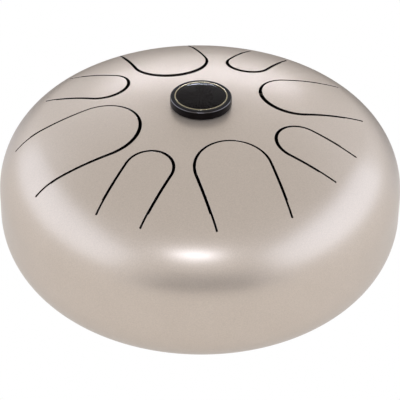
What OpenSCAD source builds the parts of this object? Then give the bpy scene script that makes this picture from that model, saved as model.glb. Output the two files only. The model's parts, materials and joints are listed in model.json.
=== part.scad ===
// Steel tongue drum. Two pressed steel domes are welded at the rim. Eight tongues are cut in the
// upper dome, which carries a round badge. The lower dome has a sound port and four rubber feet.
// Millimetres, +Z up, with the origin on the ground under the drum's centre.

/* [Drum shell] */
// Diameter at the rim
drum_d = 300; // [292:1:320]
// Thickness of the steel sheet
sheet_t = 1.5; // [1:0.1:2]
// Height of the straight rim of each dome
rim_h = 8.9; // [6:0.1:16]
// Bend radius of the shoulder, between the haunch and the rim
shoulder_r = 54.2; // [50:0.1:60]
// Bend radius of the haunch, between the crown and the shoulder
haunch_r = 200; // [180:1:230]
// Slope of the sheet where the crown ends, in degrees
crown_slope = 11.2; // [10.5:0.1:13]
// Slope of the sheet where the haunch ends, in degrees
haunch_slope = 23.7; // [21:0.1:26]

/* [Rim weld] */
// Width of the weld on the outside
weld_w = 3; // [2:0.1:4]
// Gap between the two rims at the root of the weld
weld_root = 0.6; // [0.3:0.1:1]
// Radius of the bead that stands inside the drum
weld_bead_r = 0.9; // [0.6:0.1:1.4]

/* [Cuts round the tongues] */
// Distance from the drum's centre to the cut at the tip of a long tongue
long_tip_r = 47.2; // [44:0.1:50]
// Distance from the drum's centre to the cut at the tip of a short tongue
short_tip_r = 62.7; // [60:0.1:65]
// Width of the main cut
kerf = 2; // [1.6:0.1:2.2]
// Width of the main cut at the very tip of a tongue
tip_kerf = 2.45; // [2.3:0.05:2.8]
// Width of the finer cut that tunes a tongue at its root
tuned_kerf = 1.5; // [1:0.1:1.6]
// Usual length of the finer cut
tuned_len = 12; // [8:0.5:14]
// Height of a long tongue's tip above the dome when it is at rest
long_tip_rise = 0.85; // [0:0.05:1]
// Height of a short tongue's tip above the dome when it is at rest
short_tip_rise = 0.45; // [0:0.05:0.7]
// Hairline at the root of a tongue, where its bending is taken as a hinge
root_gap = 0.2; // [0.15:0.05:0.4]
// Direction of tongue 1 from the centre, in degrees
first_tongue_angle = -71.8; // [-90:0.1:0]

/* [Tongue roots, from the rim] */
// Distance from the rim to the root of tongue 1, at the front
tongue_1_root = 27.7; // [23:0.1:34]
// Distance from the rim to the root of tongue 2
tongue_2_root = 32.7; // [28:0.1:39]
// Distance from the rim to the root of tongue 3
tongue_3_root = 31.3; // [26:0.1:37]
// Distance from the rim to the root of tongue 4
tongue_4_root = 34.1; // [29:0.1:40]
// Distance from the rim to the root of tongue 5
tongue_5_root = 28; // [23:0.1:34]
// Distance from the rim to the root of tongue 6
tongue_6_root = 27.8; // [23:0.1:34]
// Distance from the rim to the root of tongue 7, the lowest note
tongue_7_root = 16.5; // [12:0.1:22]
// Distance from the rim to the root of tongue 8
tongue_8_root = 24; // [19:0.1:30]

/* [Tongue widths, between the middles of the cuts] */
// Width of tongue 1
tongue_1_w = 55.6; // [50:0.1:58]
// Width of tongue 2
tongue_2_w = 36.4; // [32:0.1:40]
// Width of tongue 3
tongue_3_w = 50.2; // [46:0.1:56]
// Width of tongue 4
tongue_4_w = 31.8; // [28:0.1:38]
// Width of tongue 5
tongue_5_w = 55.6; // [50:0.1:58]
// Width of tongue 6
tongue_6_w = 36.8; // [32:0.1:40]
// Width of tongue 7, the lowest note
tongue_7_w = 61.4; // [56:0.1:63]
// Width of tongue 8
tongue_8_w = 35.4; // [32:0.1:40]

/* [Centre badge] */
// Diameter of the badge body
badge_d = 45.2; // [40:0.1:50]
// Height of the badge's edge above the dome
badge_h = 7.6; // [5:0.1:9]
// Radius of the rounding at the badge's upper edge
badge_edge_r = 1.2; // [0.5:0.1:1.6]
// Outer diameter of the metal ring
bezel_d = 38.8; // [34:0.1:39]
// Width of the metal ring
bezel_w = 0.9; // [0.6:0.1:1.5]
// Depth to which the ring is let into the badge body
bezel_depth = 1.2; // [0.8:0.1:1.6]
// Height of the ring above the badge body
bezel_rise = 0.25; // [0.1:0.05:0.5]
// Thickness of the label
label_t = 0.5; // [0.3:0.1:0.8]
// Height of the edge of the clear dome
lens_edge_h = 0.5; // [0.3:0.1:0.8]
// Height of the middle of the clear dome above its edge
lens_crown_h = 0.9; // [0.5:0.1:1.5]
// Diameter of the adhesive pad under the badge
badge_pad_d = 39; // [30:0.5:40]
// Thickness of the adhesive pad under the badge
badge_pad_t = 0.8; // [0.5:0.1:1.2]

/* [Sound port] */
// Diameter of the port in the lower dome
port_d = 70; // [50:1:90]
// Thickness of the rubber edging on each face of the sheet
trim_t = 2; // [1.5:0.1:3]
// Width of the edging's lips beyond the edge of the port
trim_lip = 6; // [4:0.1:8]

/* [Feet] */
// Diameter of the circle on which the feet are set
foot_circle_d = 150; // [130:1:170]
// Diameter of a foot where it meets the dome
foot_d = 20; // [16:0.5:26]
// Diameter of a foot on the ground
foot_base_d = 18; // [14:0.5:20]
// Height at which the lowest point of the dome would stand above the ground
foot_stand = 6; // [4.5:0.1:10]
// Radius of the rounding at the ground
foot_edge_r = 1; // [0.5:0.1:1.5]
// Thickness of the adhesive disc on a foot
foot_pad_t = 0.8; // [0.5:0.1:1.2]
// Margin of the adhesive disc inside the edge of the foot
foot_pad_margin = 1; // [0.5:0.1:2]

/* [Hidden] */
$fn = 128;
crown_steps = 8;
haunch_steps = 8;
shoulder_steps = 20;
lens_steps = 12;

STEEL = [0.76, 0.72, 0.68];
BLACK = [0.06, 0.06, 0.06];
BEZEL = [0.80, 0.78, 0.72];
CLEAR = [0.15, 0.15, 0.16, 0.4];
RUBBER = [0.10, 0.10, 0.10];
FOAM = [0.20, 0.20, 0.20];

tongue_count = 8;
foot_count = 4;
first_foot_angle = 45;
tongue_root = [tongue_1_root, tongue_2_root, tongue_3_root, tongue_4_root,
    tongue_5_root, tongue_6_root, tongue_7_root, tongue_8_root];
tongue_w = [tongue_1_w, tongue_2_w, tongue_3_w, tongue_4_w,
    tongue_5_w, tongue_6_w, tongue_7_w, tongue_8_w];
tuned_len_shares = [1.08, 1.1, 1.25, 1.05, 1, 0.85, 0.96, 0.88];

// Unit vector square to a face of the outline that has this slope
function slope_way(slope) = [sin(slope), cos(slope)];

// Points of an arc about a centre in the outline's plane, from one slope to another
function arc_points(centre, r, from_slope, to_slope, first, steps) =
    [for (i = [first:steps]) centre + r * slope_way(from_slope + (to_slope - from_slope) * i / steps)];
function reversed(points) = [for (i = [len(points) - 1:-1:0]) points[i]];

// The dome's outline has a crown, a haunch and a shoulder arc, each tangent to the next, and ends
// in the straight rim. The crown's radius is what these leave for it.
drum_r = drum_d / 2;
crown_r = (drum_r - haunch_r * (sin(haunch_slope) - sin(crown_slope))
    - shoulder_r * (1 - sin(haunch_slope))) / sin(crown_slope);
shoulder_c = [drum_r - shoulder_r, rim_h];
haunch_c = shoulder_c - (haunch_r - shoulder_r) * slope_way(haunch_slope);
crown_c = haunch_c - (crown_r - haunch_r) * slope_way(crown_slope);
crown_edge_r = crown_r * sin(crown_slope);
haunch_edge_r = shoulder_c[0] + shoulder_r * sin(haunch_slope);
dome_h = crown_c[1] + crown_r;
rim_z = foot_stand + dome_h;

// The outline from the top to the rim, moved out by lift
function dome_outline(lift) = concat(
    arc_points(crown_c, crown_r + lift, 0, crown_slope, 0, crown_steps),
    arc_points(haunch_c, haunch_r + lift, crown_slope, haunch_slope, 1, haunch_steps),
    arc_points(shoulder_c, shoulder_r + lift, haunch_slope, 90, 1, shoulder_steps));

// Height of the dome's outer face above the rim's plane, at a distance r from the centre
function face_h(r) = r < crown_edge_r ? crown_c[1] + sqrt(crown_r * crown_r - r * r)
    : r < haunch_edge_r ? haunch_c[1] + sqrt(pow(haunch_r, 2) - pow(r - haunch_c[0], 2))
    : shoulder_c[1] + sqrt(pow(shoulder_r, 2) - pow(r - shoulder_c[0], 2));

function tongue_angle(i) = first_tongue_angle + i * 360 / tongue_count;
function is_long(i) = i % 2 == 0;
function tip_r(i) = is_long(i) ? long_tip_r : short_tip_r;
function head_r(i) = tip_r(i) + tongue_w[i] / 2;
function root_r(i) = drum_r - tongue_root[i];
function tuned_r(i) = root_r(i) - tuned_len * tuned_len_shares[i];

// A tongue's hinge lies midway between the heights of the sheet at the middle and at the
// corners of its root
function corner_r(i) = norm([root_r(i), tongue_w[i] / 2]);
function hinge_h(i) = (face_h(root_r(i)) + face_h(corner_r(i)) - sheet_t) / 2;
function tip_rise(i) = is_long(i) ? long_tip_rise : short_tip_rise;
function rise_angle(i) = asin(tip_rise(i) / (root_r(i) - tip_r(i)));

// Everything inside the dome's outer face, above the rim's plane, after that face is moved out by
// lift
module inside_dome(lift) {
    polygon(concat([[0, 0]], dome_outline(lift), [[drum_r + lift, 0]]));
}

// A layer that follows the dome. It starts lift outside the outer face and goes depth inwards.
module dome_layer(lift, depth) {
    polygon(concat(dome_outline(lift), [[drum_r + lift, 0], [drum_r + lift - depth, 0]],
        reversed(dome_outline(lift - depth))));
}

// Section of the weld: a V between the two rims, and a round bead inside the drum
module weld_section() {
    inner_r = drum_r - sheet_t;
    polygon([[inner_r, -weld_root / 2], [drum_r, -weld_w / 2], [drum_r, weld_w / 2],
        [inner_r, weld_root / 2]]);
    intersection() {
        translate([inner_r, 0]) circle(r = weld_bead_r);
        translate([inner_r - weld_w, -weld_w / 2]) square([weld_w, weld_w]);
    }
}

module half_drum() {
    rotate_extrude() difference() {
        dome_layer(0, sheet_t);
        weld_section();
    }
}

// Plan of tongue i, in its own direction, with its sides moved out by grow. The middle of its round
// head lies at the distance centre_r.
module tongue_plan(i, grow, centre_r, end_r) {
    half_w = tongue_w[i] / 2 + grow;
    translate([centre_r, 0]) circle(r = half_w);
    polygon([[centre_r, -half_w], [end_r, -half_w], [end_r, half_w], [centre_r, half_w]]);
}

// Plan of the window that the cuts leave in the dome for tongue i
module window_plan(i) {
    tongue_plan(i, kerf / 2, head_r(i), tuned_r(i));
    tongue_plan(i, tuned_kerf - kerf / 2, head_r(i), root_r(i));
}

module top_shell() {
    color(STEEL) translate([0, 0, rim_z]) difference() {
        half_drum();
        for (i = [0:tongue_count - 1])
            rotate([0, 0, tongue_angle(i)]) linear_extrude(height = drum_r) window_plan(i);
    }
}

// A tongue is the dome's sheet inside its cuts, turned up a little at its root
module tongue(i) {
    color(STEEL) rotate([0, 0, tongue_angle(i)])
        translate([root_r(i), 0, rim_z + hinge_h(i)]) rotate([0, rise_angle(i), 0])
            translate([-root_r(i), 0, -hinge_h(i)]) intersection() {
                rotate_extrude() dome_layer(0, sheet_t);
                linear_extrude(height = drum_r)
                    tongue_plan(i, -kerf / 2, head_r(i) + tip_kerf - kerf, root_r(i) - root_gap);
            }
}

module rim_weld() {
    color(STEEL) translate([0, 0, rim_z]) rotate_extrude() weld_section();
}

module bottom_shell() {
    color(STEEL) translate([0, 0, rim_z]) mirror([0, 0, 1]) difference() {
        half_drum();
        cylinder(h = 2 * dome_h, d = port_d);
    }
}

badge_r = badge_d / 2;
badge_top_h = face_h(badge_r) + badge_h;
bezel_r = bezel_d / 2;
label_r = bezel_r - bezel_w;
label_seat_h = badge_top_h - bezel_depth;
lens_h = label_seat_h + label_t;
lens_r = (pow(label_r, 2) + pow(lens_crown_h, 2)) / (2 * lens_crown_h);

// The badge body is a black disc with a rounded upper edge, hollowed below to the dome's curve
module badge_body() {
    color(BLACK) translate([0, 0, rim_z]) rotate_extrude() difference() {
        union() {
            square([badge_r, badge_top_h - badge_edge_r]);
            square([badge_r - badge_edge_r, badge_top_h]);
            translate([badge_r - badge_edge_r, badge_top_h - badge_edge_r])
                intersection() {
                    circle(r = badge_edge_r);
                    square(badge_edge_r);
                }
        }
        inside_dome(badge_pad_t);
        translate([0, label_seat_h]) square([bezel_r, badge_h]);
    }
}

module badge_ring() {
    color(BEZEL) translate([0, 0, rim_z]) rotate_extrude() translate([label_r, label_seat_h])
        union() {
            square([bezel_w, bezel_depth + bezel_rise - bezel_w / 2]);
            translate([bezel_w / 2, bezel_depth + bezel_rise - bezel_w / 2])
                circle(r = bezel_w / 2);
        }
}

module badge_label() {
    color(BLACK) translate([0, 0, rim_z + label_seat_h]) cylinder(h = label_t, r = label_r);
}

// The clear dome has a short upright edge and a shallow spherical top
module badge_dome() {
    color(CLEAR) translate([0, 0, rim_z + lens_h]) rotate_extrude()
        polygon(concat([[0, 0]], arc_points([0, lens_edge_h + lens_crown_h - lens_r], lens_r,
            0, asin(label_r / lens_r), 0, lens_steps), [[label_r, 0]]));
}

module badge_pad() {
    color(FOAM) translate([0, 0, rim_z]) intersection() {
        rotate_extrude() dome_layer(badge_pad_t, badge_pad_t);
        cylinder(h = 2 * dome_h, d = badge_pad_d);
    }
}

port_r = port_d / 2;
port_slope = asin(port_r / crown_r);
port_edge = crown_c + (crown_r - sheet_t / 2) * slope_way(port_slope);
trim_half_t = sheet_t / 2 + trim_t;

// The edging is a rubber U with a round bore bead and round lips, which grips the sheet's edge
module port_trim() {
    color(RUBBER) translate([0, 0, rim_z]) mirror([0, 0, 1]) rotate_extrude() difference() {
        translate(port_edge) rotate(-port_slope) union() {
            circle(r = trim_half_t);
            translate([0, -trim_half_t]) square([trim_lip - trim_t / 2, 2 * trim_half_t]);
            for (side = [-1, 1])
                translate([trim_lip - trim_t / 2, side * (trim_half_t - trim_t / 2)])
                    circle(r = trim_t / 2);
        }
        difference() {
            dome_layer(0, sheet_t);
            square([port_r, 2 * dome_h]);
        }
    }
}

foot_r = foot_d / 2;
foot_base_r = foot_base_d / 2;
foot_circle_r = foot_circle_d / 2;
foot_h = rim_z - face_h(foot_circle_r + foot_r);

// Section of a foot: a slightly conical block with a rounded lower edge
module foot_section() {
    difference() {
        polygon([[0, 0], [foot_base_r, 0], [foot_r, foot_h], [0, foot_h]]);
        translate([foot_base_r - foot_edge_r, 0]) square(foot_edge_r);
    }
    translate([foot_base_r - foot_edge_r, foot_edge_r]) intersection() {
        circle(r = foot_edge_r);
        translate([0, -foot_edge_r]) square(foot_edge_r);
    }
}

module place_foot(i) {
    rotate([0, 0, first_foot_angle + i * 360 / foot_count]) translate([foot_circle_r, 0, 0])
        children();
}

// A foot is cut off above to the curve of the lower dome, less the adhesive disc
module foot(i) {
    color(RUBBER) difference() {
        place_foot(i) rotate_extrude() foot_section();
        translate([0, 0, rim_z]) mirror([0, 0, 1]) rotate_extrude() inside_dome(foot_pad_t);
    }
}

module foot_pads() {
    color(FOAM) for (i = [0:foot_count - 1]) intersection() {
        place_foot(i) cylinder(h = rim_z, r = foot_r - foot_pad_margin);
        translate([0, 0, rim_z]) mirror([0, 0, 1]) rotate_extrude() dome_layer(foot_pad_t, foot_pad_t);
    }
}

top_shell();
tongue(0);  // tongue_1
tongue(1);  // tongue_2
tongue(2);  // tongue_3
tongue(3);  // tongue_4
tongue(4);  // tongue_5
tongue(5);  // tongue_6
tongue(6);  // tongue_7
tongue(7);  // tongue_8
bottom_shell();
rim_weld();
badge_body();
badge_ring();
badge_label();
badge_dome();
badge_pad();
port_trim();
foot(0);  // foot_1
foot(1);  // foot_2
foot(2);  // foot_3
foot(3);  // foot_4
foot_pads();
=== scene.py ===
import json
import math

import bmesh
import bpy
import numpy as np
from mathutils import Matrix, Vector


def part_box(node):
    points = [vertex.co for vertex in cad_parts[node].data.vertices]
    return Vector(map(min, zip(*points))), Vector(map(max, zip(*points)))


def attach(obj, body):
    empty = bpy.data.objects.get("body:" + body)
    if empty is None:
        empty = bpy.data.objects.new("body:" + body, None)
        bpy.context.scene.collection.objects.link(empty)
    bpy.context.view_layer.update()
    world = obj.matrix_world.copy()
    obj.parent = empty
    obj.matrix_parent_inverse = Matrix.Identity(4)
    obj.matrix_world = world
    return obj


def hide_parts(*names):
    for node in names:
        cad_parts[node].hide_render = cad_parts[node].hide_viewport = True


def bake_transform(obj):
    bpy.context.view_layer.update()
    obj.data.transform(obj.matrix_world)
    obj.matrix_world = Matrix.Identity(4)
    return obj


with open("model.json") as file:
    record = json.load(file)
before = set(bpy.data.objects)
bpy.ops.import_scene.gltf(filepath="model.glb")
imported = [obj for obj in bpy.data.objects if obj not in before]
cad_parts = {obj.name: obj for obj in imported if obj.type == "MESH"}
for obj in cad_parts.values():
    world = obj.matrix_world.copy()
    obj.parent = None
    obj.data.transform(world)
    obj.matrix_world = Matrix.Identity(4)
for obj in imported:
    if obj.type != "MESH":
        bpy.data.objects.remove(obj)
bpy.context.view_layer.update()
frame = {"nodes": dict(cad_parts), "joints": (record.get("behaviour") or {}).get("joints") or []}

mm = 0.001
tiny = 1e-9
rootBody = "drum"
# facingIn and facingAcross are shares of a face's normal that lie along the dome's own
meshSizes = {
    "seam": 0.002 * mm,  # points nearer than this are joined
    "sliver": 0.0005 * mm,  # shorter edges are taken out
    "onSkin": 0.01 * mm,  # a point this near the outer skin is on it
    "onRim": 0.001 * mm,
    "underSkin": 0.15 * mm,  # faces in a cut lie deeper than this
    "overBack": 0.1 * mm,  # and this far above the inner skin
    "facingIn": -0.8,
    "facingAcross": 0.5,
}


# Small helpers

def toLinear(code):
    # sRGB hex such as "#C0B5A8" to linear RGBA
    values = [int(code[i:i + 2], 16) / 255 for i in (1, 3, 5)]
    linear = [v / 12.92 if v <= 0.04045 else ((v + 0.055) / 1.055) ** 2.4 for v in values]
    return (*linear, 1)


def setInputs(tree, node, inputs):
    # inputs holds values or output sockets by socket name or number
    for key, value in inputs.items():
        if isinstance(value, bpy.types.NodeSocket):
            tree.links.new(value, node.inputs[key])
        else:
            node.inputs[key].default_value = value


def addNode(tree, kind, inputs=None, **settings):
    made = tree.nodes.new(kind)
    for key, value in settings.items():
        setattr(made, key, value)
    setInputs(tree, made, inputs or {})
    return made


def noise(tree, place, size, detail):
    # 0 to 1, with lumps of about this size in metres
    return addNode(tree, "ShaderNodeTexNoise", {"Vector": place, "Scale": 1 / size,
                                                "Detail": detail}).outputs["Fac"]


def mapRange(tree, value, low, high, fromLow=0, fromHigh=1, **settings):
    # low where value is at most fromLow, high where it is at least fromHigh, and even between them
    return addNode(tree, "ShaderNodeMapRange", {"Value": value, "From Min": fromLow, "From Max": fromHigh,
                                                "To Min": low, "To Max": high},
                   **settings).outputs["Result"]


def combine(tree, operation, a, b):
    return addNode(tree, "ShaderNodeMath", {0: a, 1: b}, operation=operation).outputs[0]


def mixColours(tree, share, start, end):
    return addNode(tree, "ShaderNodeMix", {"Factor": share, "A": toLinear(start), "B": toLinear(end)},
                   data_type="RGBA").outputs["Result"]


def scaleVector(tree, vector, by):
    return addNode(tree, "ShaderNodeVectorMath", {0: vector, 1: by}, operation="MULTIPLY").outputs["Vector"]


def bumpNormal(tree, height, looks):
    return addNode(tree, "ShaderNodeBump", {"Height": height, "Distance": looks["relief"],
                                            "Strength": looks["reliefShare"]}).outputs["Normal"]


def newMaterial(name):
    material = bpy.data.materials.new(name)
    material.use_nodes = True
    tree = material.node_tree
    surface = tree.nodes["Principled BSDF"]
    place = addNode(tree, "ShaderNodeTexCoord").outputs["Object"]
    return material, tree, surface, place


def addObject(name, data):
    made = bpy.data.objects.new(name, data)
    bpy.context.scene.collection.objects.link(made)
    return made


def closedGrid(points, acrossClosed, alongClosed=False):
    # Quads of a grid of points, rows along the first axis; a closed axis joins its end to its start
    rows, columns = points.shape[:2]
    number = np.arange(rows * columns).reshape(rows, columns)
    if acrossClosed:
        number = np.concatenate([number, number[:, :1]], axis=1)
    if alongClosed:
        number = np.concatenate([number, number[:1]], axis=0)
    quads = np.stack([number[:-1, :-1], number[1:, :-1], number[1:, 1:], number[:-1, 1:]], axis=-1)
    return points.reshape(-1, 3), quads.reshape(-1, 4)


def readFaces(mesh, what):
    values = np.zeros(len(mesh.polygons) * 3, np.float32)
    mesh.polygons.foreach_get(what, values)
    return values.reshape(-1, 3).astype(float)


def faceKinds(mesh, side, cut, riseAt):
    # 1 for faces that look into the drum, 2 for those in the cuts between the two skins, else 0
    centres, ways = (readFaces(mesh, what) for what in ("center", "normal"))
    r = np.hypot(centres[:, 0], centres[:, 1])
    slope = domeSlope(r)
    outwards = ways[:, :2] * centres[:, :2] / r[:, None]
    facing = outwards.sum(axis=1) * slope + side * ways[:, 2] * np.sqrt(1 - slope ** 2)
    kind = np.where(facing < meshSizes["facingIn"], 1, 0)
    if cut:
        lift = riseAt(centres)[0] if riseAt else 0
        depth = domeHeight(r) + lift - (centres[:, 2] - rimHeight)
        inCut = (depth > meshSizes["underSkin"]) & (depth < sheet - meshSizes["overBack"])
        inCut &= np.abs(facing) < meshSizes["facingAcross"]
        kind = np.where(inCut, 2, kind)
    return kind


def makePiece(name, grids, material, body=rootBody, nodes=(), skinNormals=None, sharp=40,
              cutEdge=None, riseAt=None, inside=None, side=1):
    # grids is a list of (points, quads). Seams and poles are welded, and faces turned outwards.
    allPoints, allQuads, count = [], [], 0
    for points, quads in grids:
        allPoints.append(points)
        allQuads.append(quads + count)
        count += len(points)
    mesh = bpy.data.meshes.new(name)
    mesh.from_pydata(np.concatenate(allPoints).tolist(), [], np.concatenate(allQuads).tolist())
    shape = bmesh.new()
    shape.from_mesh(mesh)
    bmesh.ops.remove_doubles(shape, verts=shape.verts, dist=meshSizes["seam"])
    bmesh.ops.dissolve_degenerate(shape, dist=meshSizes["sliver"], edges=shape.edges)
    bmesh.ops.recalc_face_normals(shape, faces=shape.faces)
    for face in shape.faces:
        face.smooth = True
    shape.to_mesh(mesh)
    shape.free()
    mesh.set_sharp_from_angle(angle=math.radians(sharp))
    if skinNormals:
        # vertices on the outer skin take the dome's own slope, so no facet or seam shows there
        places = np.zeros(len(mesh.vertices) * 3, np.float32)
        mesh.vertices.foreach_get("co", places)
        normals = skinNormals(places.reshape(-1, 3).astype(float))
        mesh.normals_split_custom_set_from_vertices(normals.tolist())
    piece = addObject(name, mesh)
    mesh.materials.append(material)
    # faces that look into the drum take the inside material, whose dark colour is painted shade
    if inside:
        mesh.materials.append(inside)
        mesh.materials.append(cutEdge or inside)
        kind = faceKinds(mesh, side, cutEdge, riseAt)
        mesh.polygons.foreach_set("material_index", kind.astype(np.int32))
    if body:
        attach(piece, body)
    if nodes:
        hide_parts(*nodes)
    return piece


def smoothStep(a, b, x):
    # 0 up to a and 1 from b on, and between them three times t squared less twice t cubed
    t = np.clip((x - a) / (b - a), 0, 1)
    return t * t * (3 - 2 * t)


# The dome's outline, from the same sizes as the solids

domeSizes = {
    "sheet": 1.5 * mm,
    "rimHeight": 8.9 * mm,
    "shoulderBend": 54.2 * mm,
    "haunchBend": 200 * mm,
    "crownSlope": math.radians(11.2),
    "haunchSlope": math.radians(23.7),
    "longTipRise": 0.85 * mm,
    "shortTipRise": 0.45 * mm,
    "kerf": 2 * mm,
    "tunedKerf": 1.5 * mm,
    "tipKerf": 2.45 * mm,
    "edgeRound": 0.28 * mm,
    "portRadius": 35 * mm,
}
weldSizes = {"width": 3 * mm, "root": 0.6 * mm, "bead": 0.9 * mm, "beadPoints": 13, "around": 360}
badgeSizes = {
    "radius": 22.6 * mm,
    "edgeRound": 1.2 * mm,
    "ringRadius": 19.4 * mm,
    "ringWidth": 0.9 * mm,
    "ringDepth": 1.2 * mm,
    "ringCorner": 0.1 * mm,
    "ringLean": 7.5,
    "label": 0.5 * mm,
    "lensEdge": 0.5 * mm,
    "lensCrown": 0.9 * mm,
    "lensBand": 0.86,
    "bandSlope": math.radians(7.1),
    "edgeSlope": math.radians(9.2),
    "padRadius": 19.5 * mm,
    "pad": 0.8 * mm,
    "footRound": 1.1 * mm,
    "footTurn": -80,
    "landNearRing": 0.4 * mm,
    "landNearEdge": 0.3 * mm,
    "edgePoints": 12,
    "footPoints": 5,
    "undersidePoints": 16,
    "cornerPoints": 8,
    "lensPoints": 64,
    "padPoints": 12,
}

shellLow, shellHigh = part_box("top_shell")
weldLow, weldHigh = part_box("rim_weld")
drumRadius = (shellHigh.x - shellLow.x) / 2
rimHeight = (weldLow.z + weldHigh.z) / 2
sheet = domeSizes["sheet"]
crownSine, haunchSine = (math.sin(domeSizes[k]) for k in ("crownSlope", "haunchSlope"))
crownBend = (drumRadius - domeSizes["haunchBend"] * (haunchSine - crownSine)
             - domeSizes["shoulderBend"] * (1 - haunchSine)) / crownSine


def arcCentre(outerCentre, outerBend, bend, slope):
    # two arcs that meet at a slope have their centres on one line through the meeting point
    return (outerCentre[0] - (bend - outerBend) * math.sin(slope),
            outerCentre[1] - (bend - outerBend) * math.cos(slope))


shoulderCentre = (drumRadius - domeSizes["shoulderBend"], domeSizes["rimHeight"])
haunchCentre = arcCentre(shoulderCentre, domeSizes["shoulderBend"], domeSizes["haunchBend"],
                         domeSizes["haunchSlope"])
crownCentre = arcCentre(haunchCentre, domeSizes["haunchBend"], crownBend, domeSizes["crownSlope"])
# radii at which the crown and the haunch of the outer face end
crownEdge = crownBend * crownSine
haunchEdge = haunchCentre[0] + domeSizes["haunchBend"] * haunchSine


def domeHeight(r, depth=0):
    # height above the rim's plane of the face that lies depth inside the outer one; depth may
    # change from point to point
    crown = crownBend - depth
    haunch = domeSizes["haunchBend"] - depth
    shoulder = domeSizes["shoulderBend"] - depth
    crownEnd = crownCentre[0] + crown * crownSine
    haunchEnd = haunchCentre[0] + haunch * haunchSine
    onCrown = crownCentre[1] + np.sqrt(np.maximum(crown ** 2 - (r - crownCentre[0]) ** 2, 0))
    onHaunch = haunchCentre[1] + np.sqrt(np.maximum(haunch ** 2 - (r - haunchCentre[0]) ** 2, 0))
    onShoulder = shoulderCentre[1] + np.sqrt(np.maximum(shoulder ** 2 - (r - shoulderCentre[0]) ** 2, 0))
    return np.where(r < crownEnd, onCrown, np.where(r < haunchEnd, onHaunch, onShoulder))


def domeSlope(r):
    # sine of the outer face's slope
    onHaunch = (r - haunchCentre[0]) / domeSizes["haunchBend"]
    onShoulder = (r - shoulderCentre[0]) / domeSizes["shoulderBend"]
    slope = np.where(r < crownEdge, r / crownBend, np.where(r < haunchEdge, onHaunch, onShoulder))
    return np.clip(slope, 0, 1)


def skinNormals(places, side=1, rise=None):
    # the dome's own normal where a vertex lies on its outer skin, and zero elsewhere;
    # rise gives how far the skin is lifted there, and how steeply, as a tongue's is
    r = np.hypot(places[:, 0], places[:, 1])
    height = side * (places[:, 2] - rimHeight)
    lift, tilt = rise(places) if rise else (0, 0)
    rimEnd = domeSizes["rimHeight"] + meshSizes["onRim"]
    onDome = np.abs(height - lift - domeHeight(np.minimum(r, drumRadius))) < meshSizes["onSkin"]
    onDome &= height > rimEnd
    onRim = (np.abs(r - drumRadius) < meshSizes["onSkin"]) & (np.abs(height) <= rimEnd)
    slope = np.where(onRim, 1, domeSlope(np.minimum(r, drumRadius)))
    flat = places[:, :2] / np.maximum(r, tiny)[:, None]
    normals = np.column_stack([flat * slope[:, None], side * np.sqrt(1 - slope ** 2)])
    if rise:
        normals[:, :2] -= tilt * normals[:, 2:]
        normals /= np.linalg.norm(normals, axis=1, keepdims=True)
    return np.where((onDome | onRim)[:, None], normals, 0)


def onDomeFace(plan, depth):
    # places on the dome over plan points, at a depth below the outer face
    r = np.hypot(plan[..., 0], plan[..., 1])
    z = rimHeight + domeHeight(r, depth)
    return np.concatenate([plan, np.broadcast_to(z, plan.shape[:-1])[..., None]], axis=-1)


# The tongues' places and sizes, read from the frame

def tongueFacts(number):
    # the hinge gives a tongue's direction and root, and its solid gives its tip and width
    name = f"tongue_{number}"
    joint = next(j for j in frame["joints"] if j["child"] == name)
    x, y, _ = joint["pos_m"]
    angle = math.atan2(y, x)
    mesh = frame["nodes"][name].data
    places = np.zeros(len(mesh.vertices) * 3, np.float32)
    mesh.vertices.foreach_get("co", places)
    places = places.reshape(-1, 3)
    along = places[:, 0] * math.cos(angle) + places[:, 1] * math.sin(angle)
    across = places[:, 1] * math.cos(angle) - places[:, 0] * math.sin(angle)
    half = float(across.max() - across.min()) / 2
    tip = float(along.min())
    rise = domeSizes["longTipRise"] if number % 2 else domeSizes["shortTipRise"]
    return {"name": name, "angle": angle, "root": math.hypot(x, y), "tip": tip, "half": half,
            "head": tip + half, "rise": rise}


# length of the finer cut at each tongue's root
tunedLengths = [13 * mm, 13.2 * mm, 15 * mm, 12.6 * mm, 12 * mm, 10.2 * mm, 11.5 * mm, 10.6 * mm]
tongues = [tongueFacts(n + 1) for n in range(8)]
for tongue, tunedLength in zip(tongues, tunedLengths):
    tongue["tuned"] = tongue["root"] - tunedLength
print("frame: drum radius", round(drumRadius, 4), "rim height", round(rimHeight, 4))


# Materials

def drumLacquer():
    # Satin metallic lacquer, sprayed over steel: fine aluminium flake in a champagne binder. It gives
    # soft wide highlights with a fine sparkle, and a slight mottle where the spray was thicker.
    looks = {"colour": "#C8BAAC", "otherTone": "#C3B5A7", "flake": 0.9 * mm, "dimFlake": 0.3, "brightFlake": 0.7,
             "sparkle": 0.06, "mottle": 28 * mm, "roughness": 0.34, "roughnessSpread": 0.03,
             "relief": 0.02 * mm, "reliefShare": 0.5, "flakeShare": 0.5, "gloss": 0.1, "coat": 0.1,
             "coatRoughness": 0.2, "edgeTint": (0.64, 0.64, 0.64, 1)}
    material, tree, surface, place = newMaterial("satinMetallicLacquer")
    # flakes are 0.05 mm on a real coat, which is too fine to show, so they are drawn at 0.9 mm
    flake = noise(tree, place, looks["flake"], detail=2)
    mottle = noise(tree, place, looks["mottle"], detail=3)
    tone = mixColours(tree, mottle, looks["otherTone"], looks["colour"])
    dim, bright = looks["dimFlake"], looks["brightFlake"]
    sparkle, rough, spread = looks["sparkle"], looks["roughness"], looks["roughnessSpread"]
    speck = mapRange(tree, flake, 1 - sparkle, 1 + sparkle, dim, bright)
    setInputs(tree, surface, {
        "Base Color": scaleVector(tree, tone, speck),
        "Roughness": mapRange(tree, flake, rough - spread, rough + spread, dim, bright),
        "Normal": bumpNormal(tree, flake, looks),
        "Metallic": looks["flakeShare"],
        "Specular Tint": looks["edgeTint"],
        "Specular IOR Level": looks["gloss"],
        "Coat Weight": looks["coat"],
        "Coat Roughness": looks["coatRoughness"],
    })
    return material


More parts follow.
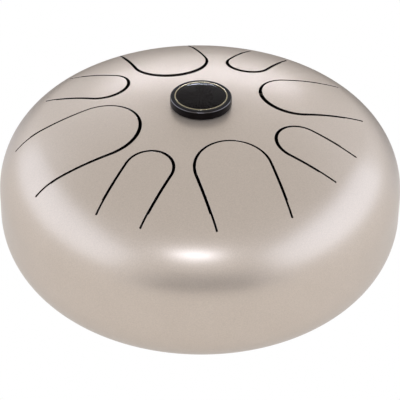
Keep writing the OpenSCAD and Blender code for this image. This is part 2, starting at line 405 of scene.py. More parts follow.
def heatedCut():
    # Steel inside the laser cuts: a rough edge, burnt nearly black, with fine lines down the sheet
    looks = {"burnt": "#070505", "bare": "#140E0B", "lines": 0.5 * mm, "drawnOut": (1, 1, 0.05),
             "relief": 0.05 * mm, "reliefShare": 0.5, "roughness": 0.8, "gloss": 0.1}
    material, tree, surface, place = newMaterial("laserCutSteelEdge")
    lines = addNode(tree, "ShaderNodeMapping", {"Vector": place, "Scale": looks["drawnOut"]})
    ridge = noise(tree, lines.outputs[0], looks["lines"], detail=1)
    setInputs(tree, surface, {
        "Base Color": mixColours(tree, ridge, looks["burnt"], looks["bare"]),
        "Normal": bumpNormal(tree, ridge, looks),
        "Roughness": looks["roughness"],
        "Specular IOR Level": looks["gloss"],
    })
    return material


def paintedShadeInside():
    # Inside of the drum: a matt dark colour that is painted shade, deepening the dark seen through the cuts
    # and the port; it is cloudy and grainy
    looks = {"deeperShade": "#121010", "otherTone": "#221E1C", "cloud": 22 * mm, "grain": 0.8 * mm,
             "relief": 0.05 * mm, "reliefShare": 0.5, "roughness": 0.85, "gloss": 0.2}
    material, tree, surface, place = newMaterial("insideSteelPaintedShade")
    cloud = noise(tree, place, looks["cloud"], detail=4)
    grain = noise(tree, place, looks["grain"], detail=1)
    setInputs(tree, surface, {
        "Base Color": mixColours(tree, cloud, looks["deeperShade"], looks["otherTone"]),
        "Normal": bumpNormal(tree, grain, looks),
        "Roughness": looks["roughness"],
        "Specular IOR Level": looks["gloss"],
    })
    return material


def mouldedAbs():
    # Black ABS, injection moulded: a dim satin skin with faint orange peel, and an upper edge that
    # hands have polished
    looks = {"colour": "#0D0A0B", "gloss": 0.02, "polishedGloss": 0.28, "roughness": 0.28,
             "polishedRoughness": 0.2, "peel": 1.2 * mm, "relief": 0.02 * mm, "reliefShare": 0.3,
             "ior": 2.4, "tint": (1, 0.88, 0.86, 1), "outerShares": (0.46, 0.36),
             "upperShares": (0.7, 0.55)}
    material, tree, surface, place = newMaterial("mouldedBlackAbs")
    peel = noise(tree, place, looks["peel"], detail=1)
    flat = scaleVector(tree, place, (1, 1, 0))
    out = addNode(tree, "ShaderNodeVectorMath", {0: flat}, operation="LENGTH").outputs["Value"]
    height = addNode(tree, "ShaderNodeSeparateXYZ", {0: place}).outputs["Z"]
    # the polish starts on the upper edge's rounding, at shares of it in from the side and the top
    soft, radius, top = badgeSizes["edgeRound"], badgeSizes["radius"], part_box("badge_body")[1].z
    outer, upper = looks["outerShares"], looks["upperShares"]
    nearSide = mapRange(tree, out, 0, 1, radius - outer[0] * soft, radius - outer[1] * soft)
    nearTop = mapRange(tree, height, 0, 1, top - upper[0] * soft, top - upper[1] * soft)
    edge = combine(tree, "MULTIPLY", nearSide, nearTop)
    # the IOR is above the 1.54 of ABS, which brightens the gloss on the polished edge
    setInputs(tree, surface, {
        "Normal": bumpNormal(tree, peel, looks),
        "Roughness": mapRange(tree, edge, looks["roughness"], looks["polishedRoughness"]),
        "Specular IOR Level": mapRange(tree, edge, looks["gloss"], looks["polishedGloss"]),
        "IOR": looks["ior"],
        "Specular Tint": looks["tint"],
        "Base Color": toLinear(looks["colour"]),
    })
    return material


def turnedRingMetal():
    # Aluminium, turned and anodised pale champagne: fine rings run round it and catch the light
    looks = {"colour": "#A2987F", "rings": 2.4 * mm, "wander": 0.4, "relief": 0.01 * mm, "reliefShare": 0.4,
             "roughness": 0.16}
    material, tree, surface, place = newMaterial("turnedAnodisedAluminium")
    # a tool's rings are about 0.1 mm apart, which is too fine to show; the wave repeats at 0.31 of
    # its scale, so they are drawn 0.75 mm apart
    rings = addNode(tree, "ShaderNodeTexWave", {"Vector": place, "Scale": 1 / looks["rings"],
                                                "Distortion": looks["wander"]},
                    wave_type="RINGS", rings_direction="Z").outputs["Fac"]
    setInputs(tree, surface, {
        "Normal": bumpNormal(tree, rings, looks),
        "Base Color": toLinear(looks["colour"]),
        "Metallic": 1,
        "Roughness": looks["roughness"],
    })
    return material


def printedFilm():
    # Black polyester film: plain print under the resin, a touch uneven
    looks = {"heavy": "#0C0909", "light": "#130F0E", "cloud": 9 * mm, "roughness": 0.45}
    material, tree, surface, place = newMaterial("blackPrintedFilm")
    cloud = noise(tree, place, looks["cloud"], detail=2)
    setInputs(tree, surface, {
        "Base Color": mixColours(tree, cloud, looks["heavy"], looks["light"]),
        "Roughness": looks["roughness"],
    })
    return material


def clearResin():
    # Cast epoxy resin: water clear, glass smooth, with the faintest waviness from its own pour
    looks = {"colour": "#0B0909", "cover": 0.65, "wave": 14 * mm, "relief": 0.05 * mm, "reliefShare": 0.015,
             "roughness": 0.075, "ior": 1.5, "gloss": 0.14, "tint": (1, 0.78, 0.76, 1)}
    material, tree, surface, place = newMaterial("clearCastResin")
    wave = noise(tree, place, looks["wave"], detail=1)
    setInputs(tree, surface, {
        "Normal": bumpNormal(tree, wave, looks),
        "Base Color": toLinear(looks["colour"]),
        "Alpha": looks["cover"],
        "Roughness": looks["roughness"],
        "IOR": looks["ior"],
        "Specular IOR Level": looks["gloss"],
        "Specular Tint": looks["tint"],
    })
    return material


def rubber(name, colour, grain):
    # EPDM rubber, black with carbon: matt, with a fine open grain from its die or mould
    looks = {"toneSpread": 0.25, "relief": 0.05 * mm, "reliefShare": 0.6, "roughness": 0.7, "ior": 1.5}
    material, tree, surface, place = newMaterial(name)
    pores = noise(tree, place, grain, detail=3)
    tone = mapRange(tree, pores, 1 - looks["toneSpread"], 1 + looks["toneSpread"])
    setInputs(tree, surface, {
        "Base Color": scaleVector(tree, toLinear(colour)[:3], tone),
        "Normal": bumpNormal(tree, pores, looks),
        "Roughness": looks["roughness"],
        "IOR": looks["ior"],
    })
    return material


def adhesiveFoam():
    # Closed-cell PE foam, die cut: matt charcoal with cells of about 0.6 mm
    looks = {"hollow": "#1E1D1C", "wall": "#34322F", "cells": 0.6 * mm, "relief": 0.1 * mm,
             "reliefShare": 0.5, "roughness": 0.9}
    material, tree, surface, place = newMaterial("closedCellFoam")
    cells = addNode(tree, "ShaderNodeTexVoronoi", {"Vector": place, "Scale": 1 / looks["cells"]})
    fromMiddle = cells.outputs["Distance"]
    setInputs(tree, surface, {
        "Base Color": mixColours(tree, fromMiddle, looks["hollow"], looks["wall"]),
        "Normal": bumpNormal(tree, fromMiddle, looks),
        "Roughness": looks["roughness"],
    })
    return material


lacquer = drumLacquer()
cutSteel = heatedCut()
# the dark colour of the drum's inside faces is painted shade
insideShade = paintedShadeInside()
badgePlastic = mouldedAbs()
ringMetal = turnedRingMetal()
labelFilm = printedFilm()
resin = clearResin()
trimRubber = rubber("extrudedEpdmRubber", "#1C1B1B", 0.5 * mm)
footRubber = rubber("mouldedEpdmRubber", "#211F1E", 0.8 * mm)
foam = adhesiveFoam()
print("materials made")


# Top shell: rings of points carried from each window in the sheet out to its sector's edge

gridSizes = {
    "innerRadius": 31 * mm,
    "outerRadius": 139.5 * mm,
    "longSector": math.radians(27.5),
    "shortSector": math.radians(17.5),
    "rings": 9,
    "headBreak": math.radians(145),
    "rootPoints": 14,
    "endPoints": 4,
    "tunedPoints": 8,
    "stepPoints": 2,
    "legPoints": 24,
    "headPoints": 22,
    "tipPoints": 14,
    "crownRings": 14,
    "edgePoints": 4,
    "rimPoints": 26,
    "rimPointsInside": 20,
    "rimShares": (0.75, 0.5),
    "sharpestMitre": 0.6,
    "turnedPoints": 192,
}


def line(start, end, count):
    # count points from start up to, but not including, end
    t = np.linspace(0, 1, count, endpoint=False)[:, None]
    return np.array(start) * (1 - t) + np.array(end) * t


def arc(centre, radius, fromAngle, toAngle, count):
    # count points of a circle round (centre, 0), up to, but not including, the last angle
    a = np.linspace(fromAngle, toAngle, count, endpoint=False)
    return np.column_stack([centre + radius * np.cos(a), radius * np.sin(a)])


def mirrored(half):
    # a closed loop from its upper half, which starts and ends on the tongue's middle line
    return np.concatenate([half, half[-2:0:-1] * [1, -1]])


def windowLoop(tongue):
    # plan of the window in the sheet: root line, finer cut, step, main cut and round head
    g = gridSizes
    wide = tongue["half"] + domeSizes["kerf"]
    narrow = tongue["half"] + domeSizes["tunedKerf"]
    root, tuned, half = (tongue[k] for k in ("root", "tuned", "half"))
    head = tongue["head"] - (domeSizes["tipKerf"] - domeSizes["kerf"])
    upper = np.concatenate([
        line((root, 0), (root, half), g["rootPoints"]),
        line((root, half), (root, narrow), g["endPoints"]),
        line((root, narrow), (tuned, narrow), g["tunedPoints"]),
        line((tuned, narrow), (tuned, wide), g["stepPoints"]),
        line((tuned, wide), (head, wide), g["legPoints"]),
        arc(head, wide, math.pi / 2, g["headBreak"], g["headPoints"]),
        arc(head, wide, g["headBreak"], math.pi, g["tipPoints"]),
        [(head - wide, 0)],
    ])
    return mirrored(upper)


def outerWays(tongue, sector):
    # angles of the points on the sector's outer edge: those beside the root line, and then those
    # beside the finer cut
    g = gridSizes
    corner = math.atan2(tongue["half"] + domeSizes["tunedKerf"], tongue["root"])
    return np.concatenate([np.linspace(0, corner, g["rootPoints"] + g["endPoints"], endpoint=False),
                           np.linspace(corner, sector, g["tunedPoints"], endpoint=False)])


def sectorLoop(tongue, sector):
    # plan of the sector's edge, with as many points on each side as the window has beside it
    g = gridSizes
    outer, inner = g["outerRadius"], g["innerRadius"]
    sidePoints = g["stepPoints"] + g["legPoints"] + g["headPoints"]
    way = (math.cos(sector), math.sin(sector))
    ways = outerWays(tongue, sector)
    upper = np.concatenate([
        np.column_stack([outer * np.cos(ways), outer * np.sin(ways)]),
        line((outer * way[0], outer * way[1]), (inner * way[0], inner * way[1]), sidePoints),
        arc(0, inner, sector, 0, g["tipPoints"]),
        [(inner, 0)],
    ])
    return mirrored(upper)


def loopNormals(loop):
    # plan normals that point away from the inside of a loop that runs anticlockwise
    ahead, behind = np.roll(loop, -1, axis=0) - loop, loop - np.roll(loop, 1, axis=0)
    ahead /= np.linalg.norm(ahead, axis=1, keepdims=True)
    behind /= np.linalg.norm(behind, axis=1, keepdims=True)
    tangent = ahead + behind
    tangent /= np.linalg.norm(tangent, axis=1, keepdims=True)
    stretch = 1 / np.maximum((tangent * ahead).sum(axis=1), gridSizes["sharpestMitre"])
    return np.column_stack([tangent[:, 1], -tangent[:, 0]]) * stretch[:, None]


def edgeProfile():
    # (distance from the edge, depth) from the outer face round the sheet's edge to the inner face
    c = domeSizes["edgeRound"]
    turn = np.linspace(0, math.pi / 2, gridSizes["edgePoints"])
    upper = np.column_stack([c * (1 - np.sin(turn)), c * (1 - np.cos(turn))])
    return np.concatenate([upper, upper[::-1] * [1, -1] + [0, sheet]])


def turned(plan, angle):
    # plan points turned about the drum's axis
    c, s = math.cos(angle), math.sin(angle)
    return np.stack([plan[..., 0] * c - plan[..., 1] * s, plan[..., 0] * s + plan[..., 1] * c], axis=-1)


def sectorGrid(tongue, sector):
    # rings from the sector's edge in to the window, round the sheet's edge and back out underneath
    g = gridSizes
    window, edge = windowLoop(tongue), sectorLoop(tongue, sector)
    # the sheet runs on into the tongue at the root line, so its edge isn't rounded there
    atRoot = np.abs(window[:, 0] - tongue["root"]) < tiny
    atRoot &= np.abs(window[:, 1]) <= tongue["half"] + tiny
    outwards = np.where(atRoot[:, None], 0, loopNormals(window))
    profile = edgeProfile()
    start = window + outwards * profile[0, 0]
    share = np.linspace(1, 0, g["rings"], endpoint=False)[:, None, None]
    spread = edge * share + start * (1 - share)
    layers = [onDomeFace(turned(spread, tongue["angle"]), 0)]
    for away, depth in profile:
        deep = np.where(atRoot, 0 if depth < sheet / 2 else sheet, depth)
        layers.append(onDomeFace(turned(window + outwards * away, tongue["angle"]), deep)[None])
    layers.append(onDomeFace(turned(spread[::-1], tongue["angle"]), sheet))
    return np.concatenate(layers)


def rimOutline(side):
    # section of a dome from the sectors' outer radius down to the weld and back up inside;
    # side 1 is the upper dome and -1 the lower one
    g = gridSizes
    centre, level = shoulderCentre
    bend = domeSizes["shoulderBend"]
    insideBend = bend - sheet
    reach = g["outerRadius"] - centre
    outerTurn = np.linspace(math.asin(reach / bend), math.pi / 2, g["rimPoints"])
    innerTurn = np.linspace(math.pi / 2, math.asin(reach / insideBend), g["rimPointsInside"])
    outer = [(centre + bend * math.sin(a), level + bend * math.cos(a)) for a in outerTurn]
    inner = [(centre + insideBend * math.sin(a), level + insideBend * math.cos(a)) for a in innerTurn]
    rim = [(drumRadius, domeSizes["rimHeight"] * share) for share in g["rimShares"]]
    rim += [(drumRadius, weldSizes["width"] / 2)]
    foot = [(drumRadius - sheet, weldSizes["root"] / 2), (drumRadius - sheet, domeSizes["rimHeight"] / 2)]
    section = np.array(outer + rim + foot + inner)
    return np.column_stack([section[:, 0], rimHeight + side * section[:, 1]])


def revolved(section, angles):
    # a section of (r, z) carried round the drum's axis
    r, z = section[:, 0][:, None], section[:, 1][:, None]
    return np.stack([r * np.cos(angles), r * np.sin(angles), z + 0 * angles], axis=-1)


def topShell():
    # a sector round each window, the rim outside the sectors and a disc inside them
    grids, outerAngles, innerAngles = [], [], []
    g = gridSizes
    for number, tongue in enumerate(tongues):
        sector = g["longSector"] if number % 2 == 0 else g["shortSector"]
        grids.append(closedGrid(sectorGrid(tongue, sector), acrossClosed=True))
        ways = outerWays(tongue, sector)
        outerAngles.append(tongue["angle"] + np.concatenate([[-sector], -ways[:0:-1], ways]))
        inwards = np.linspace(-sector, sector, 2 * g["tipPoints"], endpoint=False)
        innerAngles.append(tongue["angle"] + inwards)
    grids.append(closedGrid(revolved(rimOutline(1), np.concatenate(outerAngles)), acrossClosed=True))
    radii = np.linspace(0, g["innerRadius"], g["crownRings"])
    for depth in (0, sheet):
        section = np.column_stack([radii, rimHeight + domeHeight(radii, depth)])
        grids.append(closedGrid(revolved(section, np.concatenate(innerAngles)), acrossClosed=True))
    makePiece("topShell", grids, lacquer, nodes=["top_shell"], skinNormals=skinNormals,
              cutEdge=cutSteel, inside=insideShade)


topShell()
print("top shell made")


# Tongues: a section carried from the root to the tip, lifted as a bent strip is

# rootSteps, legStart and softEnd are in roundings of the edge, measured from the root
tongueGrid = {
    "legPoints": 34,
    "headPoints": 26,
    "acrossPoints": 17,
    "rootSteps": (0, 1, 3),
    "legStart": 5,
    "softEnd": 2,
}


def makeTongue(tongue):
    root, head, half, angle = (tongue[k] for k in ("root", "head", "half", "angle"))
    t = tongueGrid
    length = root - tongue["tip"]
    profile = edgeProfile()
    rounding = domeSizes["edgeRound"]
    # stations: x and half-width of the outline, its outward normal, and how much its edge is rounded
    early = root - rounding * np.array(t["rootSteps"])
    late = np.linspace(root - t["legStart"] * rounding, head, t["legPoints"], endpoint=False)
    legs = np.concatenate([early, late])
    turn = np.linspace(0, math.pi / 2, t["headPoints"])
    x = np.concatenate([legs, head - half * np.sin(turn)])
    width = np.concatenate([np.full(len(legs), half), half * np.cos(turn)])
    normalX = np.concatenate([np.zeros(len(legs)), -np.sin(turn)])
    normalY = np.concatenate([np.ones(len(legs)), np.cos(turn)])
    soft = smoothStep(0, t["softEnd"] * rounding, root - x)
    across = np.sin(np.linspace(-1, 1, t["acrossPoints"]) * math.pi / 2)

    def rise(along):
        # a cantilever under a load at its tip bends as (3 s2 - s3) / 2
        s = np.clip((root - along) / length, 0, 1)
        return tongue["rise"] * (3 * s ** 2 - s ** 3) / 2

    def row(away, depth, share):
        # plan points at one place of the section, for all stations
        plan = np.stack([x - away * soft * normalX, share * (width - away * soft * normalY)], axis=-1)
        # at the root the edge isn't rounded, so its points lie on the nearer face
        face = 0 if depth < sheet / 2 else sheet
        level = depth if depth in (0, sheet) else np.where(soft > 0, depth, face)
        r = np.hypot(plan[:, 0], plan[:, 1])
        z = rimHeight + domeHeight(r, level) + rise(plan[:, 0])
        return np.column_stack([turned(plan, angle), z])

    outer = [row(profile[0, 0], 0, share) for share in across]
    rightEdge = [row(away, depth, 1) for away, depth in profile[1:-1]]
    inner = [row(profile[0, 0], sheet, share) for share in across[::-1]]
    leftEdge = [row(away, depth, -1) for away, depth in profile[::-1][1:-1]]
    section = np.stack(outer + rightEdge + inner + leftEdge)
    # the root's end face, between the outer and the inner row of points there
    innerStart = len(across) + len(rightEdge)
    cap = np.stack([section[:len(across), 0], section[innerStart:innerStart + len(across)][::-1, 0]])

    def riseAt(places):
        along = places[:, 0] * math.cos(angle) + places[:, 1] * math.sin(angle)
        s = np.clip((root - along) / length, 0, 1)
        steep = -tongue["rise"] * (6 * s - 3 * s ** 2) / 2 / length
        return rise(along), steep[:, None] * np.array([[math.cos(angle), math.sin(angle)]])

    grids = [closedGrid(section, False, True), closedGrid(cap, False)]
    piece = makePiece("tonguePlate" + tongue["name"][-1], grids, lacquer, body=None,
                      nodes=[tongue["name"]],
                      skinNormals=lambda places: skinNormals(places, rise=riseAt), cutEdge=cutSteel,
                      riseAt=riseAt, inside=insideShade)
    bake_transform(piece)


for tongue in tongues:
    makeTongue(tongue)
print("tongues made")


# Bottom shell and weld

bottomSizes = {
    "portRound": 0.3 * mm,
    "crownRings": 16,
    "haunchRings": 14,
    "shoulderRings": 12,
    "around": 360,
}


def bottomShell():
    # the dome's outline from the port to the rim and back inside, turned about the drum's axis
    b = bottomSizes
    port = domeSizes["portRadius"]
    rounding = b["portRound"]
    shoulderEdge = gridSizes["outerRadius"]
    radii = np.concatenate([np.linspace(port + rounding, crownEdge, b["crownRings"], endpoint=False),
                            np.linspace(crownEdge, haunchEdge, b["haunchRings"], endpoint=False),
                            np.linspace(haunchEdge, shoulderEdge, b["shoulderRings"], endpoint=False)])
    outer = np.column_stack([radii, rimHeight - domeHeight(radii)])
    inner = np.column_stack([radii, rimHeight - domeHeight(radii, sheet)])[::-1]
    edge = np.array([(port, rounding), (port, sheet - rounding)])
    wall = np.column_stack([edge[::-1, 0], rimHeight - domeHeight(edge[::-1, 0], 0) + edge[::-1, 1]])
    section = np.concatenate([outer, rimOutline(-1), inner, wall])
    angles = np.linspace(0, 2 * math.pi, b["around"], endpoint=False)
    makePiece("bottomShell", [closedGrid(revolved(section, angles), True, True)], lacquer,
              nodes=["bottom_shell"], skinNormals=lambda places: skinNormals(places, side=-1),
              inside=insideShade, side=-1)


def rimWeld():
    # a V between the rims, ground flush outside, with a round bead inside
    w = weldSizes
    inner = drumRadius - sheet
    turn = np.linspace(math.pi / 2, 3 * math.pi / 2, w["beadPoints"])
    face = [(drumRadius, share * w["width"] / 2) for share in (-1, -0.5, 0, 0.5, 1)]
    bead = [(inner + w["bead"] * math.cos(a), w["bead"] * math.sin(a)) for a in turn]
    section = np.array(face + [(inner, w["root"] / 2)] + bead + [(inner, -w["root"] / 2)])
    section[:, 1] += rimHeight
    angles = np.linspace(0, 2 * math.pi, w["around"], endpoint=False)
    makePiece("rimWeld", [closedGrid(revolved(section, angles), True, True)], lacquer,
              nodes=["rim_weld"], skinNormals=skinNormals)


bottomShell()
rimWeld()
print("bottom shell and weld made")


# Centre badge: body, ring, label and clear dome, each a section turned about the drum's axis

def roundCorner(centre, radius, fromAngle, toAngle, count):
    # points of a section's rounded corner; angle 0 points away from the axis and 90 up
    a = np.radians(np.linspace(fromAngle, toAngle, count))
    return [(centre[0] + radius * math.cos(v), centre[1] + radius * math.sin(v)) for v in a]


def turnedPiece(name, section, material, nodes, closed=True, sharp=35):
    # a section of (r, z) turned about the drum's axis; a section from axis to axis isn't closed
    angles = np.linspace(0, 2 * math.pi, gridSizes["turnedPoints"], endpoint=False)
    return makePiece(name, [closedGrid(revolved(np.array(section), angles), True, closed)], material,
                     nodes=nodes, sharp=sharp)


def aboveDome(r, lift):
    # height of the face that lies lift outside the upper dome
    return rimHeight + float(domeHeight(r, -lift))


def makeBadge():
    # the body with its recess, then what lies in the recess, and the pad below
    b = badgeSizes
    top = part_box("badge_body")[1].z
    seat = top - b["ringDepth"]
    soft, low = b["edgeRound"], b["footRound"]
    ring, radius = b["ringRadius"], b["radius"]
    foot = aboveDome(radius, b["pad"]) + low
    land = b["landNearEdge"]
    body = [(0, seat), (ring / 2, seat), (ring, seat), (ring, (seat + top) / 2), (ring, top)]
    body += [(ring + b["landNearRing"], top), (radius - soft - land, top)]
    body += roundCorner((radius - soft, top - soft), soft, 90, 0, b["edgePoints"])
    body += [(radius, top - soft - land), (radius, foot + land)]
    body += roundCorner((radius - low, foot), low, 0, b["footTurn"], b["footPoints"])
    underside = np.linspace(radius - 2 * low, 0, b["undersidePoints"])
    body += [(r, aboveDome(r, b["pad"])) for r in underside]
    turnedPiece("badgeBody", body, badgePlastic, ["badge_body"], closed=False)

    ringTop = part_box("badge_ring")[1].z
    corner, lean = b["ringCorner"], b["ringLean"]
    inner = ring - b["ringWidth"]
    drop = (b["ringWidth"] - 2 * corner) * math.tan(math.radians(lean))
    loop = [(inner, seat), (ring, seat), (ring, (seat + ringTop) / 2)]
    count = b["cornerPoints"]
    loop += roundCorner((ring - corner, ringTop - corner - drop), corner, 0, 90 - lean, count)
    loop += roundCorner((inner + corner, ringTop - corner), corner, 90 - lean, 180, count)
    loop += [(inner, (seat + ringTop) / 2)]
    turnedPiece("badgeRing", loop, ringMetal, ["badge_ring"])

    film = seat + b["label"]
    label = [(0, seat), (inner, seat), (inner, film), (0, film)]
    turnedPiece("badgeLabel", label, labelFilm, ["badge_label"], closed=False)

    # the resin's top falls by a power of the radius, then ends in a band whose slope grows evenly
    crown = film + b["lensEdge"] + b["lensCrown"]
    slope, endSlope = (math.tan(b[k]) for k in ("bandSlope", "edgeSlope"))
    band = b["lensBand"] * inner
    middleFall = b["lensCrown"] - (slope + endSlope) / 2 * (inner - band)
    r = np.linspace(0, inner, b["lensPoints"])
    past = r - band
    fall = np.where(past < 0, middleFall * (r / band) ** (slope * band / middleFall),
                    middleFall + slope * past + (endSlope - slope) * past ** 2 / (2 * (inner - band)))
    cap = list(zip(r, crown - fall))
    lens = cap + [(inner, film + b["lensEdge"] / 2), (inner, film), (inner / 2, film), (0, film)]
    turnedPiece("badgeDome", lens, resin, ["badge_dome"], closed=False)

    pad = [(r, aboveDome(r, b["pad"])) for r in np.linspace(0, b["padRadius"], b["padPoints"])]
    pad += [(r, aboveDome(r, 0)) for r in np.linspace(b["padRadius"], 0, b["padPoints"])]
    turnedPiece("badgePad", pad, foam, ["badge_pad"], closed=False)


makeBadge()
print("badge made")


# Port trim, feet and their pads

portSizes = {
    "trim": 2 * mm,
    "lip": 6 * mm,
    "slack": 0.02 * mm,
    "bite": 0.04 * mm,
    "lipTurn": 75,
    "lipPoints": 10,
    "beadPoints": 24,
    "flatShares": (0.3, 0.6),
}
footSizes = {
    "round": 1 * mm,
    "circle": 75 * mm,
    "firstTurn": 45,
    "radius": 10 * mm,
    "baseRadius": 9 * mm,
    "pad": 0.8 * mm,
    "padMargin": 1 * mm,
    "hollow": 3 * mm,
    "hollowDepth": 1.2 * mm,
    "hollowRound": 0.6 * mm,
    "hollowFlat": 0.6,
    "around": 72,
    "roundPoints": 8,
    "hollowPoints": 5,
    "levels": 14,
    "topRings": 10,
    "padAround": 64,
    "padRings": 7,
}


def belowDome(r, lift):
    # height of the face that lies lift outside the lower dome
    return rimHeight - domeHeight(r, -lift)


def portTrim():
    # a U of rubber with a round bead in the bore and round lips, which grips the sheet's edge
    p = portSizes
    port, half, tip = domeSizes["portRadius"], sheet / 2, p["trim"] / 2
    slope = math.asin(port / crownBend)
    centre = np.array([crownCentre[0] + (crownBend - half) * math.sin(slope),
                       crownCentre[1] + (crownBend - half) * math.cos(slope)])
    wide = half + p["trim"]
    lipEnd = p["lip"] - tip
    gap, bite, turn, count = half + p["slack"], p["bite"], p["lipTurn"], p["lipPoints"]
    loop = [(bite, gap), (lipEnd / 2, gap), (lipEnd, gap)]
    loop += roundCorner((lipEnd, wide - tip), tip, -turn, 90, count)
    loop += [(lipEnd * share, wide) for share in p["flatShares"][::-1]]
    loop += roundCorner((0, 0), wide, 90, 270, p["beadPoints"])
    loop += [(lipEnd * share, -wide) for share in p["flatShares"]]
    loop += roundCorner((lipEnd, tip - wide), tip, -90, turn, count)
    loop += [(lipEnd, -gap), (lipEnd / 2, -gap), (bite, -gap), (bite, 0)]
    loop = np.array(loop)
    # turned with the sheet's slope, then put below the rim
    c, d = math.cos(slope), math.sin(slope)
    section = np.column_stack([centre[0] + loop[:, 0] * c + loop[:, 1] * d,
                               centre[1] - loop[:, 0] * d + loop[:, 1] * c])
    section[:, 1] = rimHeight - section[:, 1]
    turnedPiece("portTrim", section, trimRubber, ["port_trim"], sharp=50)


def makeFoot(number):
    # a conical block with a rounded lower edge and a shallow cup below; its top follows the dome
    f = footSizes
    angle = math.radians(f["firstTurn"] + 90 * (number - 1))
    middle = np.array([f["circle"] * math.cos(angle), f["circle"] * math.sin(angle)])
    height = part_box(f"foot_{number}")[1].z
    around = np.linspace(0, 2 * math.pi, f["around"], endpoint=False)
    soft, base = f["round"], f["baseRadius"]
    cup, depth, cupRound = f["hollow"], f["hollowDepth"], f["hollowRound"]
    section = [(0, depth), (cup * f["hollowFlat"], depth)]
    section += roundCorner((cup, depth - cupRound), cupRound, 90, 0, f["hollowPoints"])
    section += [(cup + cupRound, 0), ((base + cup) / 2, 0)]
    section += roundCorner((base - soft, soft), soft, -90, 0, f["roundPoints"])
    levels = np.linspace(soft, height, f["levels"])[1:]
    side = np.column_stack([base + (f["radius"] - base) * levels / height, levels])
    top = [(f["radius"] * share, height) for share in np.linspace(1, 0, f["topRings"])[1:]]
    section = np.concatenate([section, side, top])
    r, z = section[:, 0][:, None], section[:, 1][:, None]
    x, y = middle[0] + r * np.cos(around), middle[1] + r * np.sin(around)
    roof = belowDome(np.hypot(x, y), f["pad"])
    points = np.stack([x, y, np.minimum(z + 0 * x, roof)], axis=-1)
    makePiece(f"footBlock{number}", [closedGrid(points, True)], footRubber,
              nodes=[f"foot_{number}"], sharp=35)


def footPads():
    # discs between the feet and the lower dome, both faces following it
    f = footSizes
    around = np.linspace(0, 2 * math.pi, f["padAround"], endpoint=False)
    radii = (f["radius"] - f["padMargin"]) * np.linspace(0, 1, f["padRings"])
    grids = []
    for number in range(4):
        angle = math.radians(f["firstTurn"] + 90 * number)
        x = f["circle"] * math.cos(angle) + radii[:, None] * np.cos(around)
        y = f["circle"] * math.sin(angle) + radii[:, None] * np.sin(around)
        r = np.hypot(x, y)
        upper = np.stack([x, y, belowDome(r, 0)], axis=-1)
        lower = np.stack([x, y, belowDome(r, f["pad"])], axis=-1)[::-1]
        grids.append(closedGrid(np.concatenate([upper, lower]), True))
    makePiece("footPads", grids, foam, nodes=["foot_pads"], sharp=35)


portTrim()
for number in range(1, 5):
    makeFoot(number)
footPads()
print("port trim and feet made")


# Camera, lights and floor

viewSizes = {
    "elevation": 35.114,
    "distance": 1.51349,
    "lookBelowRim": 6.959 * mm,
    "roll": 0.574,
    "lens": 179.95,
    "sensor": 36,
    "clipStart": 0.05,
    "clipEnd": 20,
}
stageSizes = {
    "floorRadius": 1.1,
    "floorPoints": 96,
    "floorDrop": 0.2 * mm,
    "floorColour": "#F2F0EE",
    "floorRoughness": 0.9,
    "fill": 0.75,
    "fillColour": "#FFF8EC",
    "ceiling": 0.72,
    "ceilingLow": 0.15,
    "ceilingHigh": 0.75,
    "cardPoints": 81,
    "cardFade": 0.4,
    "cardRoughness": 0.95,
}
# azimuth, elevation, distance, width, height, radiance and colour of each lamp, lengths in metres
lamps = {
    "leftBox": (-88, 24, 1.4, 2.8, 0.95, 1.48, "#CEE0FF"),
    "rightBox": (84, 24, 1.4, 2.45, 0.95, 1.68, "#CEE0FF"),
    "leftRearBox": (-146, 24, 1.4, 0.9, 0.95, 0.32, "#CEE0FF"),
    "rightRearBox": (138, 24, 1.4, 0.9, 0.95, 0.32, "#CEE0FF"),
    "rearBox": (180, 20, 1.5, 0.8, 0.036, 30, "#E2EAFF"),
    "frontLamp": (-2.4, 40, 1.6, 0.46, 0.11, 30, "#DCE8FF"),
}
# azimuth, half the span, radius of the lower and the upper edge, their heights and the colour of
# each card, lengths in metres
cards = {
    "frontFloorCard": (3, 42, 0.55, 0.849, 0.001, 0.001, "#4A4A4A"),
    "frontCard": (3, 42, 0.85, 0.85, 0, 0.13, "#242424"),
    "frontCardTop": (4, 34, 0.85, 0.85, 0.131, 0.296, "#606060"),
    "rearCard": (180, 46, 1.0, 1.0, 0, 0.13, "#202020"),
    "rearFloorCard": (174, 58, 0.3, 1.0, 0.001, 0.001, "#1C1C1C"),
}


def placeCamera():
    # in front of the drum and above it, looking a little below the rim
    camera = bpy.data.cameras.new("camera")
    camera.lens = viewSizes["lens"]
    camera.sensor_width = viewSizes["sensor"]
    camera.clip_start, camera.clip_end = viewSizes["clipStart"], viewSizes["clipEnd"]
    holder = addObject("camera", camera)
    up = math.radians(viewSizes["elevation"])
    back = Vector((0, -math.cos(up), math.sin(up)))
    target = Vector((0, 0, rimHeight - viewSizes["lookBelowRim"]))
    turn = (-back).to_track_quat("-Z", "Y").to_matrix().to_4x4()
    roll = Matrix.Rotation(math.radians(viewSizes["roll"]), 4, "Z")
    holder.matrix_world = Matrix.Translation(target + back * viewSizes["distance"]) @ turn @ roll
    bpy.context.scene.camera = holder


def softBox(name, azimuth, elevation, distance, width, height, radiance, colour):
    # a rectangular lamp that faces the drum; azimuth 0 is the front and 90 is the right
    lamp = bpy.data.lights.new(name, "AREA")
    lamp.shape = "RECTANGLE"
    lamp.size, lamp.size_y = width, height
    lamp.energy = radiance * math.pi * width * height
    lamp.color = toLinear(colour)[:3]
    holder = addObject(name, lamp)
    a, e = math.radians(azimuth), math.radians(elevation)
    out = Vector((math.sin(a) * math.cos(e), -math.cos(a) * math.cos(e), math.sin(e)))
    target = Vector((0, 0, rimHeight))
    turn = out.to_track_quat("Z", "Y").to_matrix().to_4x4()
    holder.matrix_world = Matrix.Translation(target + out * distance) @ turn


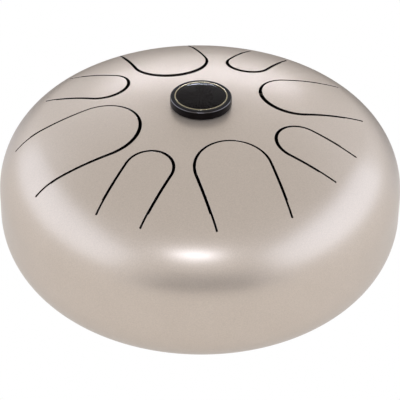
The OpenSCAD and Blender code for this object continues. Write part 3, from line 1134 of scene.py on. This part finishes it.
def makeStage():
    # a pale sweep: plain white in the picture, in gloss and through clear resin, and its own colour,
    # with the drum's shadow, in the light that it sends back to the drum
    s = stageSizes
    plane = bpy.data.meshes.new("floor")
    angles = np.linspace(0, 2 * math.pi, s["floorPoints"], endpoint=False)
    rim = np.column_stack([s["floorRadius"] * np.cos(angles), s["floorRadius"] * np.sin(angles),
                           np.full(s["floorPoints"], -s["floorDrop"])])
    plane.from_pydata(rim.tolist(), [], [list(range(s["floorPoints"]))])
    floor = addObject("floor", plane)
    material, tree, surface, place = newMaterial("paintedSweep")
    setInputs(tree, surface, {
        "Base Color": toLinear(s["floorColour"]),
        "Roughness": s["floorRoughness"],
    })
    glow = addNode(tree, "ShaderNodeEmission", {"Color": (1, 1, 1, 1), "Strength": 1})
    mixed = addNode(tree, "ShaderNodeMixShader", {0: seenRays(tree), 1: surface.outputs[0],
                                                  2: glow.outputs[0]})
    tree.links.new(mixed.outputs[0], tree.nodes["Material Output"].inputs["Surface"])
    plane.materials.append(material)

    # the room is white round the drum and a little darker overhead
    world = bpy.data.worlds.new("studio")
    bpy.context.scene.world = world
    world.use_nodes = True
    tree = world.node_tree
    back = tree.nodes["Background"]
    outwards = addNode(tree, "ShaderNodeTexCoord").outputs["Generated"]
    way = addNode(tree, "ShaderNodeSeparateXYZ", {0: outwards})
    ceiling = mapRange(tree, way.outputs["Z"], 1, s["ceiling"], s["ceilingLow"], s["ceilingHigh"],
                       interpolation_type="SMOOTHSTEP")
    seen = seenRays(tree)
    level = mapRange(tree, seen, s["fill"], 1)
    setInputs(tree, back, {
        "Color": mixColours(tree, seen, s["fillColour"], "#FFFFFF"),
        "Strength": combine(tree, "MULTIPLY", level, ceiling),
    })


def seenRays(tree):
    # 1 for rays that show the stage itself: to the camera, in gloss and through clear resin
    path = addNode(tree, "ShaderNodeLightPath").outputs
    seen = combine(tree, "MAXIMUM", path["Is Camera Ray"], path["Is Glossy Ray"])
    return combine(tree, "MAXIMUM", seen, path["Is Transmission Ray"])


def darkCard(name, azimuth, halfSpan, near, far, low, high, colour):
    # a curved card round the drum, out of the picture, which shows only in its gloss; it is sprayed
    # white towards its ends, and it runs from its lower edge, near, to its upper edge, far
    share = np.linspace(-1, 1, stageSizes["cardPoints"])
    way = np.radians(azimuth + share * halfSpan)
    edge = np.column_stack([np.sin(way), -np.cos(way)])
    points = np.stack([np.column_stack([edge * near, np.full(len(edge), low)]),
                       np.column_stack([edge * far, np.full(len(edge), high)])])
    places, quads = closedGrid(points, False)
    mesh = bpy.data.meshes.new(name)
    mesh.from_pydata(places.tolist(), [], quads.tolist())
    fade = mesh.attributes.new("fade", "FLOAT", "POINT")
    whiteness = smoothStep(stageSizes["cardFade"], 1, np.abs(share))
    fade.data.foreach_set("value", np.tile(whiteness, 2).astype(np.float32))
    card = addObject(name, mesh)
    material, tree, surface, place = newMaterial("sprayedCard")
    ends = addNode(tree, "ShaderNodeAttribute", attribute_name="fade")
    setInputs(tree, surface, {
        "Base Color": mixColours(tree, ends.outputs["Fac"], colour, "#FFFFFF"),
        "Roughness": stageSizes["cardRoughness"],
    })
    mesh.materials.append(material)
    card.visible_camera = False
    card.visible_shadow = False
    card.visible_diffuse = False


placeCamera()
for name, values in lamps.items():
    softBox(name, *values)
for name, values in cards.items():
    darkCard(name, *values)
makeStage()
bpy.context.scene.view_settings.view_transform = "Standard"
print("camera, lights and floor made")
